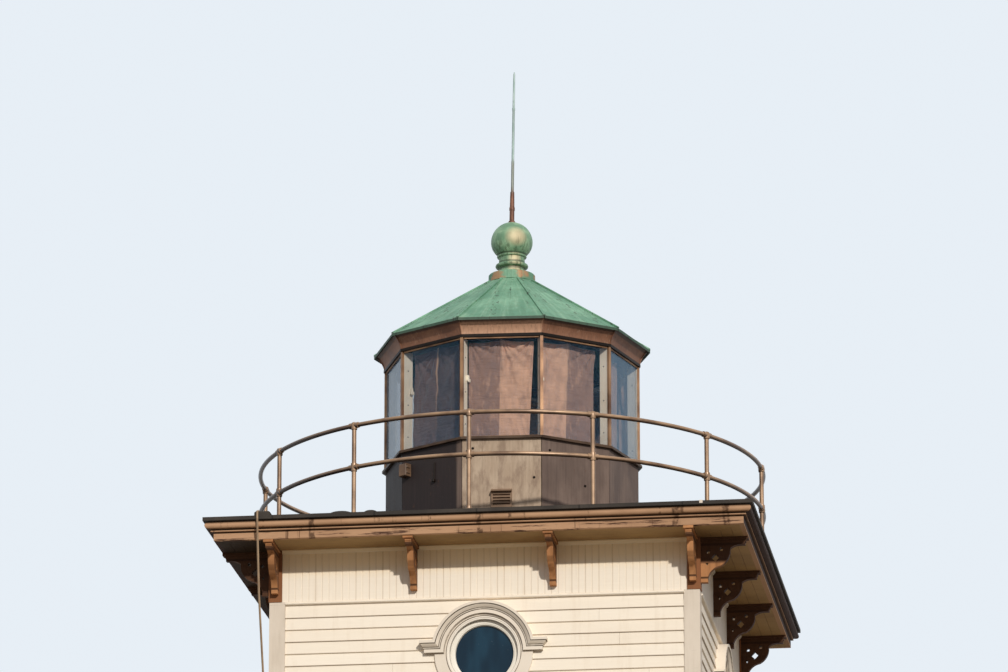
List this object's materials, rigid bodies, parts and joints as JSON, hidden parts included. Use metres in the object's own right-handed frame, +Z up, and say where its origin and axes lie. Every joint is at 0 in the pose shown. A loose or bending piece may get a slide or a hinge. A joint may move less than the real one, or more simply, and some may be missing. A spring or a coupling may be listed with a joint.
{
  "type": "lighthouse",
  "caption": "Square timber lighthouse tower with round hooded windows, a bracketed gallery roof, a pipe railing and a glazed polygonal lantern under a copper roof with ball finial.",
  "frame": {"origin": "on the ground at the centre of the square foundation's underside", "axes": "+Z up, -Y out of the front with the door, +X to the right as seen from the front"},
  "size_m": [4.828, 4.914, 18.8142],
  "materials": {
    "masonry": "weathered masonry",
    "floorboards": "worn floorboards",
    "siding": "weathered warm cream paint on boards",
    "cream_trim": "weathered greyish cream paint",
    "brown_trim": "brown paint",
    "bracket_brown": "orange-brown paint",
    "tan_soffit": "tan paint",
    "roofing": "black roofing over boards",
    "door_paint": "brown paint",
    "window_glass": "clear glass over a dark room",
    "lantern_brown": "stained brown paint",
    "cream_metal": "cream paint",
    "lantern_glass": "clear glass",
    "copper": "weathered copper",
    "patina": "green patina on copper",
    "curtain_cloth": "pinkish-tan cloth",
    "rail_paint": "tan-brown paint with rust",
    "fitting_paint": "grey-brown paint",
    "cable_tan": "pale tan paint"
  },
  "bodies": {
    "root": {"foundation": "masonry", "door_step": "masonry", "ground_floor": "floorboards", "upper_floors": "floorboards", "front_wall": "siding", "back_wall": "siding", "left_wall": "siding", "right_wall": "siding", "corner_boards": "cream_trim", "corner_blocks": "brown_trim", "frieze_boards": "siding", "drip_mould": "cream_trim", "bed_mould": "siding", "soffit": "tan_soffit", "cornice": "brown_trim", "gallery_deck": "roofing", "front_brackets": "bracket_brown", "right_brackets": "bracket_brown", "back_brackets": "bracket_brown", "left_brackets": "bracket_brown", "oculus_casings": "cream_trim", "oculus_hoods": "cream_trim", "oculus_sashes": "cream_trim", "oculus_glass": "window_glass", "door_frame": "cream_trim", "door_leaf": "door_paint", "lantern_wall": "lantern_brown", "lantern_sill": "lantern_brown", "lantern_head": "cream_metal", "lantern_glass": "lantern_glass", "lantern_astragals": "copper", "lantern_mullions": "cream_metal", "lantern_cove": "copper", "lantern_roof": "patina", "roof_hips": "patina", "curtains": "curtain_cloth", "finial": "patina", "lightning_rod": "copper", "railing_posts": "rail_paint", "top_rail": "rail_paint", "mid_rail": "rail_paint", "wall_vent": "fitting_paint", "junction_box": "fitting_paint", "conductor": "cable_tan"}
  },
  "joints": []
}
